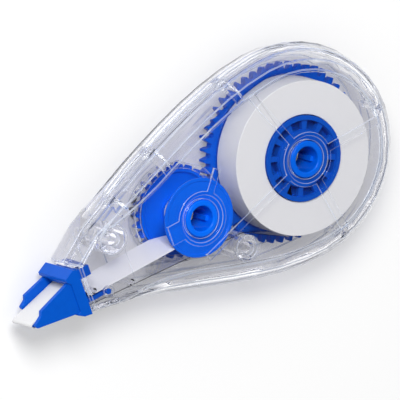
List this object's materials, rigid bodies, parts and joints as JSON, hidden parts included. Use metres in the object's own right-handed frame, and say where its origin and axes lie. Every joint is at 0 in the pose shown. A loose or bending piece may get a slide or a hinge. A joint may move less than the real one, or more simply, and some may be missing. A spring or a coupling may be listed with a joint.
{
  "type": "correction tape dispenser",
  "caption": "Clear drop-shaped correction tape dispenser with a blue tape head, meshing supply and take-up gears, a white tape roll and the tape run between them.",
  "frame": {"origin": "middle of the overall length and width, on the surface that the rear cover lies on", "axes": "+X from the tape head to the round rear end, +Y across the case towards its taller side, +Z out of the front cover"},
  "size_m": [0.0774, 0.0378, 0.011],
  "materials": {
    "clear_plastic": "clear polystyrene, polished, with bright edges",
    "clear_film": "thin clear film",
    "backing_film": "bare backing ribbon, smooth",
    "blue_plastic": "moulded satin blue plastic",
    "white_tape": "matt off-white correction tape",
    "spring_steel": "bright wave washer",
    "friction_rubber": "matt dark rubber"
  },
  "bodies": {
    "case": {"rear_cover": "clear_plastic", "front_cover": "clear_plastic", "tape_guard": "clear_plastic", "tape_head": "blue_plastic", "tape_tip": "blue_plastic", "fresh_tape_run": "white_tape", "tip_tape_fold": "white_tape", "used_tape_run": "white_tape"},
    "supply_drive": {"supply_gear": "blue_plastic", "roll_backing_disc": "clear_film", "clutch_spring": "spring_steel", "clutch_ring": "friction_rubber"},
    "supply_spool": {"supply_bobbin": "blue_plastic", "tape_roll": "white_tape"},
    "take_up": {"take_up_gear": "blue_plastic", "take_up_core": "blue_plastic", "used_tape_winding": "backing_film"}
  },
  "joints": [
    {"name": "supply_spin", "type": "hinge", "parent": "case", "child": "supply_drive", "pos_m": [0.01963, -0.0005, 0.005], "axis": [0, 0, 1], "continuous": true},
    {"name": "bobbin_slip", "type": "hinge", "parent": "supply_drive", "child": "supply_spool", "pos_m": [0.01963, -0.0005, 0.0064], "axis": [0, 0, 1], "continuous": true},
    {"name": "take_up_spin", "type": "hinge", "parent": "case", "child": "take_up", "pos_m": [-0.0026, -0.0005, 0.005], "axis": [0, 0, 1], "continuous": true}
  ],
  "couplings": [
    {"joint": "take_up_spin", "follows": "supply_spin", "ratio": -2}
  ]
}
